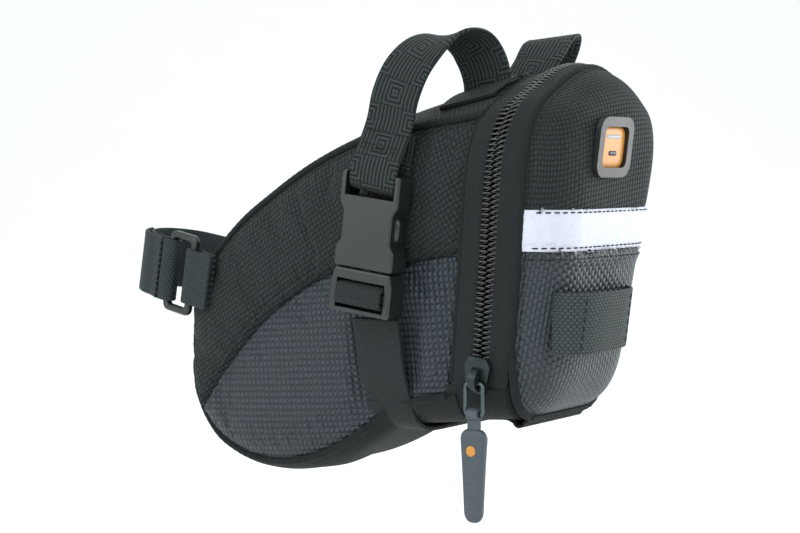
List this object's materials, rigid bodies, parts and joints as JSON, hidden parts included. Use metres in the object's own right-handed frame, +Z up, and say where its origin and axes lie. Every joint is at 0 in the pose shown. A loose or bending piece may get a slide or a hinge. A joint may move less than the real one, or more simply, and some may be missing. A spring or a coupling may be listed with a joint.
{
  "type": "saddle bag",
  "caption": "Wedge-shaped strap-on saddle bag with a zipped rear lid, rail straps with side-release buckles, a seatpost strap and a light loop.",
  "frame": {"origin": "middle of the seatpost clamp, on the seatpost's axis", "axes": "+X to the rider's rear, +Y to the rider's right, +Z up, with the bag at the angle at which it hangs"},
  "size_m": [0.2273, 0.095, 0.1752],
  "materials": {
    "woven_nylon": "matt",
    "coated_fabric": "satin",
    "twill": "matt",
    "piping": "matt",
    "zip_tape": "matt",
    "zip_coil": "satin",
    "reflective": "reflective",
    "patch_border": "satin",
    "patch_inlay": "satin",
    "webbing": "matt",
    "patterned_webbing": "matt",
    "buckle": "satin",
    "slider_metal": "dark",
    "grip_rubber": "matt",
    "post_webbing": "matt",
    "binding": "matt"
  },
  "bodies": {
    "bag": {"bottom_gusset": "twill", "buckle_socket_left": "buckle", "buckle_socket_right": "buckle", "hinge_binding": "binding", "nose_gusset": "twill", "piping_left": "piping", "piping_right": "piping", "post_strap": "post_webbing", "rail_strap_left": "patterned_webbing", "rail_strap_right": "patterned_webbing", "ring_tab": "post_webbing", "side_panel_left_lower": "coated_fabric", "side_panel_left_upper": "woven_nylon", "side_panel_right_lower": "coated_fabric", "side_panel_right_upper": "woven_nylon", "strap_anchor_left": "patterned_webbing", "strap_anchor_right": "patterned_webbing", "strap_ring": "buckle", "strap_slack_left": "webbing", "strap_slack_right": "webbing", "top_gusset": "woven_nylon", "under_strap": "webbing", "zipper_coil_body": "zip_coil", "zipper_tape_body": "zip_tape"},
    "lid": {"lid_upper_panel": "woven_nylon", "reflective_strip": "reflective", "lid_lower_panel": "coated_fabric", "patch_border": "patch_border", "patch_inlay": "patch_inlay", "light_clip_loop": "webbing", "zipper_tape_lid": "zip_tape", "zipper_coil_lid": "zip_coil"},
    "slider": {"slider_body": "slider_metal", "slider_bail": "slider_metal"},
    "pull_wire": {"pull_wire": "slider_metal"},
    "pull_grip": {"pull_tab": "grip_rubber", "pull_grip": "grip_rubber", "pull_emblem": "patch_inlay"},
    "strap_tail": {"strap_tail": "post_webbing"},
    "plug_left": {"buckle_plug_left": "buckle", "plug_web_left": "webbing"},
    "prong_rear_left": {"prong_rear_left": "buckle"},
    "prong_front_left": {"prong_front_left": "buckle"},
    "plug_right": {"buckle_plug_right": "buckle", "plug_web_right": "webbing"},
    "prong_rear_right": {"prong_rear_right": "buckle"},
    "prong_front_right": {"prong_front_right": "buckle"}
  },
  "joints": [
    {"name": "lid_hinge", "type": "hinge", "parent": "bag", "child": "lid", "pos_m": [0.176, 0, -0.0495], "axis": [0, 1, 0], "range_deg": [0, 80]},
    {"name": "zip_slide", "type": "slide", "parent": "bag", "child": "slider", "axis": [0.1283, -0.0938, 0.9873], "range_m": [0, 0.06]},
    {"name": "wire_swing", "type": "hinge", "parent": "slider", "child": "pull_wire", "pos_m": [0.16715, -0.03637, -0.03494], "axis": [-1, 0, 0], "range_deg": [0, 120]},
    {"name": "grip_swing", "type": "hinge", "parent": "pull_wire", "child": "pull_grip", "pos_m": [0.16715, -0.03637, -0.04594], "axis": [-1, 0, 0], "range_deg": [-4, 30]},
    {"name": "tail_peel", "type": "hinge", "parent": "bag", "child": "strap_tail", "pos_m": [0.00414, -0.0198, -0.00069], "axis": [0.165, 0, 0.9863], "range_deg": [0, 100]},
    {"name": "plug_slide_left", "type": "slide", "parent": "bag", "child": "plug_left", "axis": [-0.1219, 0, -0.9925], "range_m": [0, 0.0215], "deforming": ["strap_slack_left"]},
    {"name": "prong_rear_left_flex", "type": "hinge", "parent": "plug_left", "child": "prong_rear_left", "pos_m": [0.13101, -0.0411, 0.00215], "axis": [0, -1, 0], "range_deg": [0, 5], "stiffness_Nm_per_rad": 0.2},
    {"name": "prong_front_left_flex", "type": "hinge", "parent": "plug_left", "child": "prong_front_left", "pos_m": [0.1191, -0.0411, 0.00361], "axis": [0, 1, 0], "range_deg": [0, 5], "stiffness_Nm_per_rad": 0.2},
    {"name": "plug_slide_right", "type": "slide", "parent": "bag", "child": "plug_right", "axis": [-0.1219, 0, -0.9925], "range_m": [0, 0.0215], "deforming": ["strap_slack_right"]},
    {"name": "prong_rear_right_flex", "type": "hinge", "parent": "plug_right", "child": "prong_rear_right", "pos_m": [0.13101, 0.0411, 0.00215], "axis": [0, -1, 0], "range_deg": [0, 5], "stiffness_Nm_per_rad": 0.2},
    {"name": "prong_front_right_flex", "type": "hinge", "parent": "plug_right", "child": "prong_front_right", "pos_m": [0.1191, 0.0411, 0.00361], "axis": [0, 1, 0], "range_deg": [0, 5], "stiffness_Nm_per_rad": 0.2}
  ]
}
